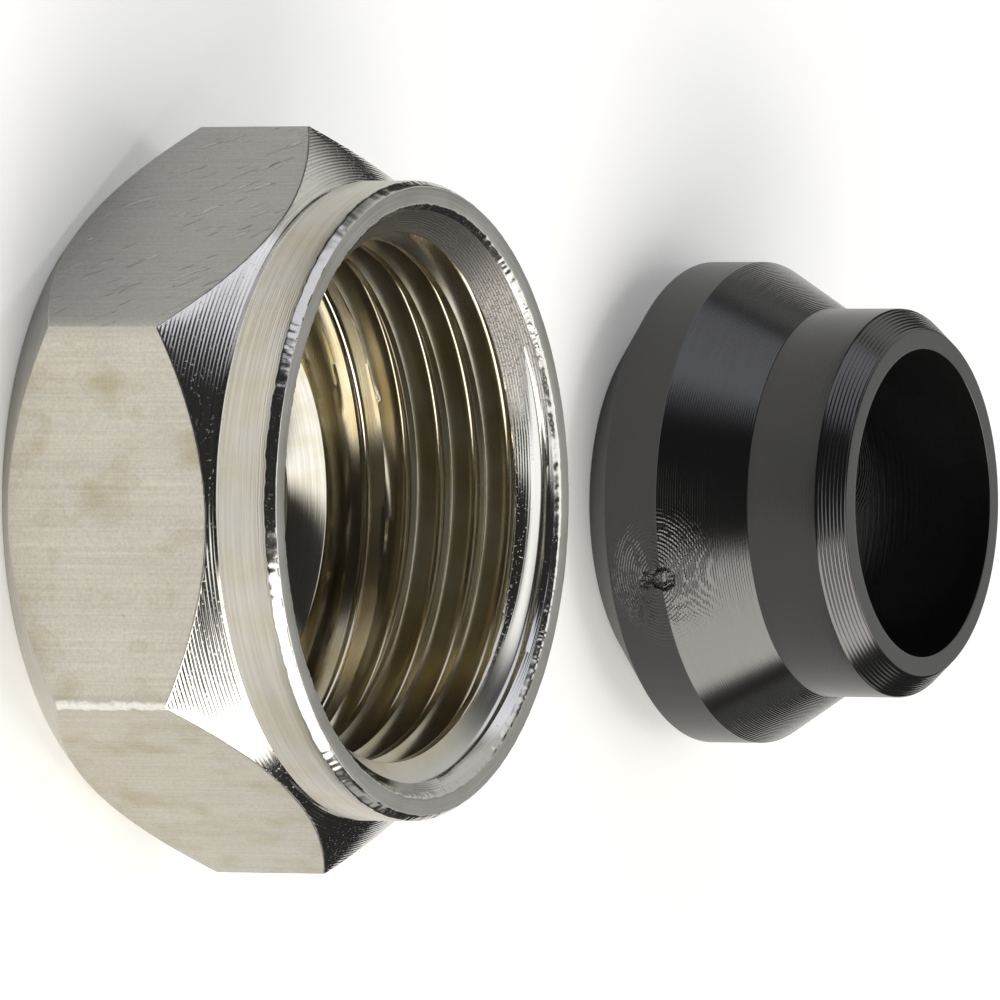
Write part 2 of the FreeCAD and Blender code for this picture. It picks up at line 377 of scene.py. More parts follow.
def thread_rows(turn, bottom):
    """Rows of the thread, from the mouth down: how far each lies below a root over the mouth, its height at
    a turn, and how many of them make one pitch.

    Over half a pitch from a root, they lie on the root's arc, then on the flank, and then on the crest.
    """
    tangent = ROOT_ROUND * math.cos(FLANK_ANGLE)
    flank_depth = ROOT_RADIUS - ROOT_ROUND * (1 - math.sin(FLANK_ANGLE)) - CREST_RADIUS
    crest = flank_depth * math.tan(FLANK_ANGLE) + tangent
    half = np.array([0.33 * tangent, 0.67 * tangent, tangent, tangent + 0.33 * (crest - tangent),
                     tangent + 0.67 * (crest - tangent), crest - 0.025 * MM, crest,
                     crest + 0.03 * MM, (crest + PITCH / 2) / 2])
    offsets = np.concatenate([[0], half, [PITCH / 2], PITCH - half[::-1]])
    per_turn = len(offsets)
    turns = int(np.ceil((THREAD_TOP - bottom) / PITCH)) + 2
    drop = np.concatenate([offsets + number * PITCH for number in range(turns)])
    root = RIM_HEIGHT - FIRST_ROOT_DEPTH + PITCH * (turn - FIRST_ROOT_TURN) / (2 * np.pi) + PITCH
    lead = root - drop
    keep = (lead + PITCH >= bottom - PITCH / per_turn) & (lead <= THREAD_TOP + PITCH)
    return drop[keep], lead[keep], per_turn


def nut_inside():
    """Points of (radius, height) from the undercut's foot over the flat shoulder and the seat, and down the
    pipe hole to its back edge."""
    wall, foot = (UNDERCUT_RADIUS, RIM_HEIGHT), (UNDERCUT_RADIUS, SHOULDER)
    seat, hole = (SEAT_TOP_RADIUS, SHOULDER), (HOLE_RADIUS, HOLE_LAND)
    edge = (HOLE_RADIUS, HOLE_CHAMFER)
    return [*rounded_corner(wall, foot, seat, UNDERCUT_ROUND, 9),
            *rounded_corner(foot, seat, hole, 2 * EDGE_SOFTNESS),
            *rounded_corner(seat, hole, edge, EDGE_SOFTNESS), edge]


def plated_nut(materials):
    """Closed surface of the nut: rows of points around the axis, carried once around its profile.

    The thread's rows climb with its helix, one pitch in a turn, so that the last column joins rows one
    pitch further down. Rows that leave the thread at its ends lie on the end's circle.
    """
    angle, fine_angle = column_angles(COLUMNS), column_angles(RIM_COLUMNS)
    outside, rim = nut_outside(angle), nut_rim(fine_angle)
    around = 2 * np.pi * RIM_OUTER_RADIUS
    points, faces, uvs, finishes = [], [], [], []
    starts, counts = [], []

    def put(radius, height, angles):
        """Add a row of points around the axis."""
        starts.append(sum(counts))
        counts.append(len(angles))
        points.append(place(angles, radius, height))

    def link(low, high, low_length, high_length, finish):
        """Join two rows with faces of one finish."""
        joined, mapped = join_rows(starts[low], counts[low], starts[high], counts[high],
                                   low_length, high_length, around)
        faces.append(joined)
        uvs.append(mapped)
        finishes.append(np.full(len(joined), finish))

    # Outside and rim, with one row of a middle count between the two
    middle_angle = column_angles(2 * COLUMNS)
    level = np.ones_like(middle_angle)
    middle = [(COLLAR_RADIUS * level, RIM_HEIGHT - 1.3 * MM * level, COLLAR)]
    top = [(RIM_INNER_RADIUS - 0.22 * MM * level, RIM_HEIGHT - 0.22 * MM * level, TORN)]
    rows = outside + middle + rim + top
    angles = [angle] * len(outside) + [middle_angle] + [fine_angle] * len(rim) + [middle_angle]
    lengths = profile_length(rows)
    for (radius, height, finish), angles_here in zip(rows, angles):
        put(radius, height, angles_here)
    for number in range(len(rows) - 1):
        link(number, number + 1, lengths[number], lengths[number + 1], rows[number][2])

    # Thread, from just below the mouth's edge down to the undercut's foot
    bottom = SHOULDER + UNDERCUT_ROUND
    drop, lead, per_turn = thread_rows(angle[0], bottom)
    rise = PITCH * (angle - angle[0]) / (2 * np.pi)
    thread_start = len(starts)
    thread_length = lengths[-1] + (drop - drop[0]) * WALL_PER_DROP
    for base in lead:
        height = np.clip(base + rise, bottom, THREAD_TOP)
        put(thread_radius(angle, height), height, angle)
    link(thread_start - 1, thread_start, lengths[-1], thread_length[0], TORN)
    for number in range(len(lead) - 1):
        low, high = thread_start + number, thread_start + number + 1
        joined, mapped = join_rows(starts[low], COLUMNS, starts[high], COLUMNS,
                                   thread_length[number], thread_length[number + 1], around)
        for side, row in ((1, number), (2, number + 1)):
            partner = thread_start + max(row - per_turn, 0)
            joined[-1, side] = starts[partner]
        faces.append(joined)
        uvs.append(mapped)
        finishes.append(np.full(len(joined), THREAD))

    # Inside, from the undercut's foot back to the first row
    level = np.ones_like(angle)
    inside = [(radius * level, height * level) for radius, height in nut_inside()]
    inside_start = len(starts)
    for radius, height in inside:
        put(radius, height, angle)
    lengths = thread_length[-1] + profile_length(inside)
    link(inside_start - 1, inside_start, thread_length[-1], thread_length[-1], SEAT)
    for number in range(len(inside) - 1):
        low = inside_start + number
        link(low, low + 1, lengths[number], lengths[number + 1], SEAT)
    link(len(starts) - 1, 0, lengths[-1], lengths[-1] + HOLE_CHAMFER, SEAT)
    return add_mesh("plated_nut", np.concatenate(points), np.concatenate(faces),
                    np.concatenate(uvs), np.concatenate(finishes), materials)


def gate_depth(side, height):
    """Depth of the gate mark: two overlapping pits with uneven steep walls and a ring of swarf left inside.

    Each pit is its depth times an S curve across its wall, less a bell-shaped ridge at six tenths of its
    radius.
    """
    depth = np.zeros_like(side)
    for up, across, radius, deep in GATE_PITS:
        away_up = height - (REAR_CONE + BAND - up * MM)
        away_side = side - across * MM
        bearing = np.arctan2(away_up, away_side)
        wall = radius * MM * (1 + 0.05 * np.sin(3 * bearing + up * 5) + 0.04 * np.sin(7 * bearing + 1))
        away = np.hypot(away_up, away_side)
        bowl = deep * MM * soft_step((wall - away) / (0.13 * MM))
        swarf = (0.09 + 0.05 * np.sin(2 * bearing + 1.3) + 0.03 * np.sin(9 * bearing)) * MM
        swarf = swarf * np.exp(-((away - 0.6 * wall) / (0.09 * MM)) ** 2)
        depth = np.maximum(depth, bowl - swarf * (bowl > 0))
    return depth


def ring_profile():
    """Points of (radius, height) around the ring's closed profile, and the finish from each to the next.

    Each corner is rounded. Beside the band's upper edge, where the gate mark is, the points lie closer.
    """
    band_top = REAR_CONE + BAND
    cone_top = band_top + FRONT_CONE
    nose_top = RING_TOP - NOSE_CHAMFER
    face_radius = NOSE_RADIUS - NOSE_CHAMFER_WIDTH
    # Each corner of the profile, the number of points between it and the next, and the finish up to there
    sides = [((BORE_RADIUS, 0.0), 3, RING_MATTE),
             ((REAR_RADIUS, 0.0), 7, RING_MATTE),
             ((BAND_RADIUS, REAR_CONE), 44, RING_MATTE),
             ((BAND_RADIUS, band_top), 40, RING_TURNED),
             ((NOSE_RADIUS, cone_top), 5, RING_MATTE),
             ((NOSE_RADIUS, nose_top), 6, RING_NOSE),
             ((face_radius, RING_TOP), 4, RING_MATTE),
             ((BORE_RADIUS, RING_TOP), 8, RING_BORED)]
    profile, kinds = [], []
    count = len(sides)
    arcs = []
    for number in range(count):
        radius = BORE_EDGE_ROUND if number in (0, count - 1) else RING_EDGE_ROUND
        before, corner, after = sides[number - 1][0], sides[number][0], sides[(number + 1) % count][0]
        arcs.append(rounded_corner(before, corner, after, radius))
    for number, (_, steps, finish) in enumerate(sides):
        start, end = arcs[number][-1], arcs[(number + 1) % count][0]
        profile += arcs[number]
        kinds += [finish] * len(arcs[number])
        shares = np.linspace(0, 1, steps + 2)[1:-1]
        if number == 2:
            shares = 1 - (1 - shares) ** 1.5
        if number == 3:
            shares = shares ** 1.7
        profile += [start + (end - start) * share for share in shares]
        kinds += [finish] * len(shares)
    return np.array(profile), kinds


def clamping_ring(materials):
    """Closed surface of the ring: its profile turned about the axis, with the gate mark pressed into it.

    Columns lie closer around the gate mark.
    """
    profile, kinds = ring_profile()
    share = np.arange(RING_COLUMNS) / RING_COLUMNS
    angle = GATE_TURN + 2 * np.pi * (share - GATE_CLOSENESS * np.sin(2 * np.pi * share) / (2 * np.pi))
    turn = np.mod(angle - GATE_TURN + np.pi, 2 * np.pi) - np.pi
    radius = np.repeat(profile[:, :1], len(angle), 1)
    height = np.repeat(profile[:, 1:], len(angle), 1)
    side = turn[None, :] * BAND_RADIUS
    near = (np.abs(turn)[None, :] < GATE_REACH) & (height > GATE_LOW) & (height < GATE_HIGH)
    near = near & (radius > GATE_INNER)
    radius = radius - np.where(near, gate_depth(np.broadcast_to(side, radius.shape), height), 0.0)
    points = place(angle[None, :], radius, height, (RING_AXIS.x, RING_AXIS.y)).reshape(-1, 3)
    step = np.hypot(*np.diff(profile, axis=0, append=profile[:1]).T)
    length = np.concatenate([[0], np.cumsum(step)])
    faces, uvs, finishes = [], [], []
    for number in range(len(profile)):
        after = (number + 1) % len(profile)
        joined, mapped = join_rows(number * len(angle), len(angle), after * len(angle), len(angle),
                                   length[number], length[number + 1], 2 * np.pi * BAND_RADIUS)
        faces.append(joined)
        uvs.append(mapped)
        finishes.append(np.full(len(joined), kinds[number]))
    return add_mesh("clamping_ring", points, np.concatenate(faces), np.concatenate(uvs),
                    np.concatenate(finishes), materials)


# Materials. The scales of their noises are waves for each millimetre, unless a docstring says otherwise.

def linear(code):
    """Linear colour of an sRGB hex code."""
    parts = [int(code[spot:spot + 2], 16) / 255 for spot in (1, 3, 5)]
    parts = [part / 12.92 if part <= 0.04045 else ((part + 0.055) / 1.055) ** 2.4 for part in parts]
    return (*parts, 1.0)


def add(tree, kind, links=None, stops=None, **settings):
    """Add a node. Settings are its own properties, and links fill its inputs by name or number.

    A link is a value, an output, or a node whose first output is meant. Stops are a ramp's places and
    colours.
    """
    node = tree.nodes.new("ShaderNode" + kind)
    for name, value in settings.items():
        setattr(node, name, value)
    for name, value in (links or {}).items():
        if isinstance(value, bpy.types.Node):
            value = value.outputs[0]
        if isinstance(value, bpy.types.NodeSocket):
            tree.links.new(value, node.inputs[name])
        else:
            node.inputs[name].default_value = value
    for number, (spot, colour) in enumerate(stops or ()):
        ramp = node.color_ramp.elements
        stop = ramp[number] if number < len(ramp) else ramp.new(spot)
        stop.position = spot
        stop.color = linear(colour)
    return node


def new_material(name, metallic, roughness):
    """Node material with a Principled surface."""
    material = bpy.data.materials.new(name)
    material.use_nodes = True
    tree = material.node_tree
    tree.nodes.clear()
    shader = add(tree, "BsdfPrincipled", {"Metallic": metallic, "Roughness": roughness})
    add(tree, "OutputMaterial", {"Surface": shader})
    return material, tree, shader


def axis_distance(tree, point):
    """Distance from the upright axis through the origin: a point's length once its height is taken out."""
    flat = add(tree, "VectorMath", {0: point, 1: (1, 1, 0)}, operation="MULTIPLY")
    return add(tree, "VectorMath", {0: flat}, operation="LENGTH").outputs["Value"]


def travel(tree, mapped):
    """Length along a turned profile, in metres.

    It is the map's second number. On the hexagon's cones, whose rows aren't circles, it is the height less
    0.414 of the radius, which is exact on the collar and on the cones that narrow towards it.
    """
    if mapped:
        return add(tree, "SeparateXYZ", {0: add(tree, "UVMap", uv_map="turning")}).outputs["Y"]
    own = add(tree, "TexCoord").outputs["Object"]
    radius = axis_distance(tree, own)
    height = add(tree, "SeparateXYZ", {0: own}).outputs["Z"]
    length = add(tree, "Math", {0: radius, 1: 1 - math.sqrt(2), 2: height}, operation="MULTIPLY_ADD")
    return length.outputs[0]


def lathe_space(tree, centre, turns, lines, mapped=True):
    """Coordinates for what a lathe leaves: direction from the axis, and length along the profile.

    The first two numbers are the cosine and sine around the axis, times turns. The third is the length
    along the profile in millimetres, times lines.
    """
    own = add(tree, "TexCoord")
    placed = add(tree, "Mapping", {"Vector": own.outputs["Object"], "Location": -centre})
    flat = add(tree, "VectorMath", {0: placed, 1: (1, 1, 0)}, operation="MULTIPLY")
    unit = add(tree, "VectorMath", {0: flat}, operation="NORMALIZE")
    circle = add(tree, "VectorMath", {0: unit, "Scale": turns}, operation="SCALE")
    around = add(tree, "SeparateXYZ", {0: circle})
    along = add(tree, "Math", {0: travel(tree, mapped), 1: lines / MM}, operation="MULTIPLY")
    return add(tree, "CombineXYZ", {"X": around.outputs["X"], "Y": around.outputs["Y"], "Z": along})


def ridges(tree, centre, pitch, wander, mapped=True):
    """Feed marks of a lathe: a sine along the profile, one wave for each pitch, that wanders a little."""
    space = lathe_space(tree, centre, 5.0, 1.5, mapped)
    noise = add(tree, "TexNoise", {"Vector": space, "Scale": 1.0, "Detail": 2.0})
    drift = add(tree, "Math", {0: noise, 1: wander}, operation="MULTIPLY")
    phase = add(tree, "Math", {0: travel(tree, mapped), 1: 2 * math.pi / pitch, 2: drift},
                operation="MULTIPLY_ADD")
    return add(tree, "Math", {0: phase}, operation="SINE")


NUT_AXIS = Vector((0, 0, 0))


def heading(turn, lift):
    """Direction by its turn from the camera's side towards +X and its lift above the floor, in degrees."""
    turn, lift = math.radians(turn), math.radians(lift)
    return Vector((math.sin(turn) * math.cos(lift), -math.cos(turn) * math.cos(lift), math.sin(lift)))


# Places on the flats: where the plate takes painted shade, darker and cooler, towards -X and a little towards
# +X, and how far out the worn corner takes a painted highlight
SHADE_AND_NICK_SIDE = (-7.3 * MM, -8.4 * MM)
FAR_SHADE = (8.4 * MM, 9.6 * MM)
CORNER_GLINT = (17.29 * MM, 17.38 * MM)


def drawn_flats():
    """Nickel plate on drawn brass bar: satin and warm grey, with fine draw lines along the bar, a faint cross
    grain from the bar's pickling, slanting nicks, and yellow-brown water stains. Towards -X the plate is
    clean, with more and deeper nicks that show bright, and its colour there carries painted shade, darker
    and cooler; towards +X it carries a little painted shade. Along the worn corner the colour carries a
    painted highlight."""
    material, tree, shader = new_material("nickel_plate_on_drawn_bar", 1.0, 0.3)
    own = add(tree, "TexCoord").outputs["Object"]
    noises = {}
    slanting = add(tree, "Mapping", {"Vector": own, "Rotation": (-0.57, -0.43, 0)}, vector_type="TEXTURE")
    for name, waves, detail in (("draw", (8, 8, 0.12), 3), ("cross", (0.15, 0.15, 7), 2),
                                ("grain", (7, 7, 7), 2), ("cloud", (0.26, 0.26, 0.26), 3),
                                ("stain", (0.42, 0.42, 0.3), 2), ("nick", (2.8, 2.8, 0.56), 1)):
        space = add(tree, "Mapping", {"Vector": slanting if name == "nick" else own,
                                      "Scale": [count / MM for count in waves]})
        noises[name] = add(tree, "TexNoise", {"Vector": space, "Scale": 1.0, "Detail": detail,
                                              "Roughness": 0.55})
    plate = add(tree, "ValToRGB", {0: noises["cloud"]}, [(0.3, "#d0cbc0"), (0.7, "#dad6cc")])
    side = add(tree, "SeparateXYZ", {0: own})
    # Side mask towards -X: painted shade in the colour, and there fewer stains and more nicks
    shade_and_nick_side = add(tree, "MapRange", {"Value": side, "From Min": SHADE_AND_NICK_SIDE[0], "From Max": SHADE_AND_NICK_SIDE[1]})
    clean = add(tree, "MapRange", {"Value": shade_and_nick_side, "To Min": 1.0, "To Max": 0.12})
    # Painted shade towards +X: the plate's colour turns a little darker
    far = add(tree, "MapRange", {"Value": side, "From Min": FAR_SHADE[0], "From Max": FAR_SHADE[1], "To Max": 0.45})
    # Painted shade towards -X: the plate's colour turns a darker, cooler grey
    plate = add(tree, "MixRGB", {0: shade_and_nick_side, 1: plate, 2: linear("#b0afac")})
    plate = add(tree, "MixRGB", {0: far, 1: plate, 2: linear("#b9b5aa")})
    # Painted highlight: a near-white line in the colour along the worn corner
    corner = (math.cos(WORN_CORNER_TURN), math.sin(WORN_CORNER_TURN), 0)
    worn = add(tree, "VectorMath", {0: own, 1: corner}, operation="DOT_PRODUCT").outputs["Value"]
    worn = add(tree, "Math", {0: noises["nick"], 1: 0.25 * MM, 2: worn}, operation="MULTIPLY_ADD")
    worn = add(tree, "MapRange", {"Value": worn, "From Min": CORNER_GLINT[0], "From Max": CORNER_GLINT[1]})
    patches = add(tree, "MapRange", {"Value": noises["stain"], "From Min": 0.5, "From Max": 0.74,
                                     "To Max": 0.5}, interpolation_type="SMOOTHSTEP")
    edge = add(tree, "Math", {0: noises["stain"], 1: 0.56, 2: 0.008}, operation="COMPARE")
    stains = add(tree, "Math", {0: edge, 1: 0.12, 2: patches}, operation="MULTIPLY_ADD")
    stains = add(tree, "Math", {0: stains, 1: clean}, operation="MULTIPLY")
    stains_and_glint = add(tree, "MixRGB", {0: stains, 1: plate, 2: linear("#aa9c6c")})
    # Mix in the painted highlight along the worn corner
    stains_and_glint = add(tree, "MixRGB", {0: worn, 1: stains_and_glint, 2: linear("#fbf9f4")})
    speckle = add(tree, "MapRange", {"Value": noises["grain"], "From Min": 0.3, "From Max": 0.7,
                                     "To Min": 0.9, "To Max": 1.06})
    lined = add(tree, "MapRange", {"Value": noises["draw"], "From Min": 0.3, "From Max": 0.7,
                                   "To Min": 0.92, "To Max": 1.07})
    nicks = add(tree, "Math", {0: shade_and_nick_side, 1: 0.035, 2: noises["nick"]}, operation="MULTIPLY_ADD")
    nicks = add(tree, "MapRange", {"Value": nicks, "From Min": 0.68, "From Max": 0.74},
                interpolation_type="SMOOTHSTEP")
    bared = add(tree, "Math", {0: nicks, 1: shade_and_nick_side}, operation="MULTIPLY")
    nicks = add(tree, "Math", {0: bared, 1: 4.0, 2: nicks}, operation="MULTIPLY_ADD")
    bared = add(tree, "MapRange", {"Value": bared, "To Min": 1.0, "To Max": 1.22})
    tone = add(tree, "Math", {0: speckle, 1: lined}, operation="MULTIPLY")
    tone = add(tree, "Math", {0: tone, 1: bared}, operation="MULTIPLY")
    colour = add(tree, "VectorMath", {0: stains_and_glint, "Scale": tone}, operation="SCALE")
    tree.links.new(colour.outputs[0], shader.inputs["Base Color"])
    normal = None
    for height, depth in ((noises["draw"], 0.014), (noises["cross"], 0.002), (noises["grain"], 0.006),
                          (nicks, 0.008)):
        links = {"Height": height, "Distance": depth * MM}
        if normal:
            links["Normal"] = normal
        normal = add(tree, "Bump", links)
    tree.links.new(normal.outputs[0], shader.inputs["Normal"])
    return material


def turned_nickel(name, colours, roughness, pitch, ridge, fine, specks, mapped=True):
    """Nickel plate over a turned face: bright, with feed marks, finer scratches between them, and torn
    specks. Ridge, fine and specks are the three depths in millimetres."""
    material, tree, shader = new_material(name, 1.0, roughness)
    space = lathe_space(tree, NUT_AXIS, 6.0, 0.4, mapped)
    cloud = add(tree, "TexNoise", {"Vector": space, "Scale": 1.0, "Detail": 3.0})
    colour = add(tree, "ValToRGB", {0: cloud}, [(0.42, colours[0]), (0.7, colours[1])])
    space = lathe_space(tree, NUT_AXIS, 2.0, 8.0, mapped)
    lined = add(tree, "TexNoise", {"Vector": space, "Scale": 1.0, "Detail": 2.0})
    tone = add(tree, "MapRange", {"Value": lined, "From Min": 0.35, "From Max": 0.65, "To Min": 0.9,
                                  "To Max": 1.07})
    colour = add(tree, "VectorMath", {0: colour, "Scale": tone}, operation="SCALE")
    tree.links.new(colour.outputs[0], shader.inputs["Base Color"])
    feed = ridges(tree, NUT_AXIS, pitch, 2.5, mapped)
    normal = add(tree, "Bump", {"Height": feed, "Distance": ridge * MM})
    for depth, turns, lines, low, high in ((fine, 3.0, 9.0, 0.0, 1.0), (specks, 110.0, 7.0, 0.62, 0.74)):
        space = lathe_space(tree, NUT_AXIS, turns, lines, mapped)
        noise = add(tree, "TexNoise", {"Vector": space, "Scale": 1.0, "Detail": 3.0})
        height = add(tree, "MapRange", {"Value": noise, "From Min": low, "From Max": high},
                     interpolation_type="SMOOTHSTEP" if low else "LINEAR")
        normal = add(tree, "Bump", {"Height": height, "Distance": depth * MM, "Normal": normal})
    tree.links.new(normal.outputs[0], shader.inputs["Normal"])
    return material


def torn_edge():
    """Nickel plate over an edge that the lathe tore: bright, with flecks that face every way."""
    material, tree, shader = new_material("nickel_plate_on_torn_edge", 1.0, 0.16)
    shader.inputs["Base Color"].default_value = linear("#c8c6c0")
    own = add(tree, "TexCoord").outputs["Object"]
    space = add(tree, "Mapping", {"Vector": own, "Scale": [13 / MM] * 3})
    noise = add(tree, "TexNoise", {"Vector": space, "Scale": 1.0, "Detail": 3.0, "Roughness": 0.6})
    flecks = add(tree, "MapRange", {"Value": noise, "From Min": 0.66, "From Max": 0.77},
                 interpolation_type="SMOOTHSTEP")
    bump = add(tree, "Bump", {"Height": flecks, "Distance": 0.01 * MM})
    tree.links.new(bump.outputs[0], shader.inputs["Normal"])
    return material


# Places on the thread's wall: where the plate turns from thin to full towards the mouth, and where the
# mouth's cone turns from clean to chattered towards -X
FULL_PLATE = (RIM_HEIGHT - 1.7 * MM, RIM_HEIGHT - 1.2 * MM)
CHATTERED = (-1.0 * MM, -8.0 * MM)


def thread_wall():
    """Thread cut in brass and thinly plated: polished flanks with hairlines that follow the helix, gold where
    the plate is thin, fine ticks on the crests, and a grey nickel cone at the mouth. The cone has scattered
    torn spots, and towards -X the tool chattered on it and left it duller, darker and more torn."""
    material, tree, shader = new_material("thin_nickel_on_cut_brass_thread", 1.0, 0.2)
    own = add(tree, "TexCoord").outputs["Object"]
    split = add(tree, "SeparateXYZ", {0: own})
    radius = axis_distance(tree, own)
    gap = add(tree, "Math", {0: radius, 1: split.outputs["Z"]}, operation="SUBTRACT")
    mouth = add(tree, "Math", {0: gap, 1: RIM_INNER_RADIUS - RIM_HEIGHT, 2: 0.03 * MM}, operation="COMPARE")
    crest = add(tree, "Math", {0: radius, 1: CREST_RADIUS + 0.03 * MM}, operation="LESS_THAN")
    space = lathe_space(tree, NUT_AXIS, 5.0, 0.5)
    cloud = add(tree, "TexNoise", {"Vector": space, "Scale": 1.0, "Detail": 3.0})
    wall = add(tree, "ValToRGB", {0: cloud}, [(0.38, "#c8c3b3"), (0.62, "#bdb49b")])
    top = add(tree, "MapRange", {"Value": split.outputs["Z"], "From Min": FULL_PLATE[0],
                                 "From Max": FULL_PLATE[1]})
    colour = add(tree, "MixRGB", {0: top, 1: wall, 2: linear("#cac9c4")})
    chatter = add(tree, "MapRange", {"Value": split.outputs["X"], "From Min": CHATTERED[0],
                                     "From Max": CHATTERED[1]}, interpolation_type="SMOOTHSTEP")
    grey = add(tree, "Math", {0: chatter, 1: mouth}, operation="MULTIPLY")
    colour = add(tree, "MixRGB", {0: grey, 1: colour, 2: linear("#7c7a76")})
    tree.links.new(colour.outputs[0], shader.inputs["Base Color"])
    gloss = add(tree, "MapRange", {"Value": mouth, "To Min": 0.2, "To Max": 0.1})
    gloss = add(tree, "Math", {0: grey, 1: 0.25, 2: gloss}, operation="MULTIPLY_ADD")
    tree.links.new(gloss.outputs[0], shader.inputs["Roughness"])
    space = lathe_space(tree, NUT_AXIS, 3.0, 10.0)
    hair = add(tree, "TexNoise", {"Vector": space, "Scale": 1.0, "Detail": 3.0})
    space = lathe_space(tree, NUT_AXIS, 140.0, 1.5)
    ticks = add(tree, "TexNoise", {"Vector": space, "Scale": 1.0, "Detail": 2.0})
    ticks = add(tree, "Math", {0: ticks, 1: crest}, operation="MULTIPLY")
    fine = add(tree, "Bump", {"Height": hair, "Distance": 0.0022 * MM})
    ticked = add(tree, "Bump", {"Height": ticks, "Distance": 0.005 * MM, "Normal": fine})
    space = lathe_space(tree, NUT_AXIS, 120.0, 8.0)
    torn = add(tree, "TexNoise", {"Vector": space, "Scale": 1.0, "Detail": 2.0})
    edge = add(tree, "MapRange", {"Value": radius, "From Min": CREST_RADIUS + 0.9 * MM,
                                  "From Max": CREST_RADIUS, "To Min": 0.71, "To Max": 0.62})
    edge = add(tree, "Math", {0: chatter, 1: -0.12, 2: edge}, operation="MULTIPLY_ADD")
    torn = add(tree, "Math", {0: torn, 1: edge}, operation="SUBTRACT")
    torn = add(tree, "MapRange", {"Value": torn, "From Max": 0.08}, interpolation_type="SMOOTHSTEP")
    torn = add(tree, "Math", {0: torn, 1: mouth}, operation="MULTIPLY")
    speckled = add(tree, "Bump", {"Height": torn, "Distance": 0.016 * MM, "Normal": ticked})
    rough = add(tree, "Math", {0: grey, 1: 3.0, 2: mouth}, operation="MULTIPLY_ADD")
    feed = ridges(tree, NUT_AXIS, 0.13 * MM, 4.0)
    feed = add(tree, "Math", {0: feed, 1: rough}, operation="MULTIPLY")
    lined = add(tree, "Bump", {"Height": feed, "Distance": 0.0009 * MM, "Normal": speckled})
    tree.links.new(lined.outputs[0], shader.inputs["Normal"])
    return material


SWIRL_SPACING = 0.19


def gate_swirl(tree):
    """Flow lines of the moulding around the gate: a sine on the distance from it, which wanders, breaks off
    and fades outwards. The distance is in millimetres around the ring and in 0.68 millimetres along it."""
    centre = (RING_AXIS.x + BAND_RADIUS * math.cos(GATE_TURN),
              RING_AXIS.y + BAND_RADIUS * math.sin(GATE_TURN), REAR_CONE + BAND - 0.4 * MM)
    own = add(tree, "TexCoord").outputs["Object"]
    space = add(tree, "Mapping", {"Vector": own, "Location": centre, "Rotation": (0, 0, GATE_TURN),
                                  "Scale": (1.0, 1 * MM, 0.68 * MM)}, vector_type="TEXTURE")
    distance = add(tree, "VectorMath", {0: space}, operation="LENGTH").outputs["Value"]
    wobble = add(tree, "TexNoise", {"Vector": space, "Scale": 1.3, "Detail": 3.0, "Roughness": 0.6})
    wander = add(tree, "Math", {0: wobble, 1: 7.0}, operation="MULTIPLY")
    phase = add(tree, "Math", {0: distance, 1: 2 * math.pi / SWIRL_SPACING, 2: wander},
                operation="MULTIPLY_ADD")
    wave = add(tree, "Math", {0: phase}, operation="SINE")
    fade = add(tree, "MapRange", {"Value": distance, "From Min": 4.6, "From Max": 1.8},
               interpolation_type="SMOOTHSTEP")
    broken = add(tree, "TexNoise", {"Vector": space, "Scale": 2.1, "Detail": 2.0})
    broken = add(tree, "MapRange", {"Value": broken, "From Min": 0.33, "From Max": 0.52})
    strength = add(tree, "Math", {0: fade, 1: broken}, operation="MULTIPLY")
    return add(tree, "Math", {0: wave, 1: strength}, operation="MULTIPLY")


def moulded_plastic():
    """Black glass-filled plastic as it leaves the mould: matte and dark grey, with a fine spark-eroded grain,
    hair scratches, and flow lines around the gate."""
    material, tree, shader = new_material("black_plastic_as_moulded", 0.0, 0.25)
    own = add(tree, "TexCoord").outputs["Object"]
    space = add(tree, "Mapping", {"Vector": own, "Scale": [9 / MM] * 3})
    grain = add(tree, "TexNoise", {"Vector": space, "Scale": 1.0, "Detail": 2.0})
    space = lathe_space(tree, RING_AXIS, 8.0, 0.8)
    cloud = add(tree, "TexNoise", {"Vector": space, "Scale": 1.0, "Detail": 3.0})
    colour = add(tree, "ValToRGB", {0: cloud}, [(0.3, "#0d0d0d"), (0.7, "#131312")])
    tree.links.new(colour.outputs[0], shader.inputs["Base Color"])
    shader.inputs["IOR"].default_value = 1.65
    space = lathe_space(tree, RING_AXIS, 4.0, 10.0)
    scratch = add(tree, "TexNoise", {"Vector": space, "Scale": 1.0, "Detail": 2.0})
    grained = add(tree, "Bump", {"Height": grain, "Distance": 0.006 * MM})
    scratched = add(tree, "Bump", {"Height": scratch, "Distance": 0.003 * MM, "Normal": grained})
    swirled = add(tree, "Bump", {"Height": gate_swirl(tree), "Distance": 0.016 * MM, "Normal": scratched})
    tree.links.new(swirled.outputs[0], shader.inputs["Normal"])
    return material


def turned_plastic(name, pitch, ridge):
    """The same plastic where it was turned: glossy and near black, with even feed marks that split a
    highlight into fine stripes, and the flow lines around the gate."""
    material, tree, shader = new_material(name, 0.0, 0.16)
    shader.inputs["Base Color"].default_value = linear("#131313")
    shader.inputs["IOR"].default_value = 1.8
    space = lathe_space(tree, RING_AXIS, 3.0, 8.0)
    scratch = add(tree, "TexNoise", {"Vector": space, "Scale": 1.0, "Detail": 2.0})
    feed = ridges(tree, RING_AXIS, pitch, 1.5)
    lined = add(tree, "Bump", {"Height": feed, "Distance": ridge * MM})
    scratched = add(tree, "Bump", {"Height": scratch, "Distance": 0.004 * MM, "Normal": lined})
    swirled = add(tree, "Bump", {"Height": gate_swirl(tree), "Distance": 0.012 * MM, "Normal": scratched})
    tree.links.new(swirled.outputs[0], shader.inputs["Normal"])
    return material


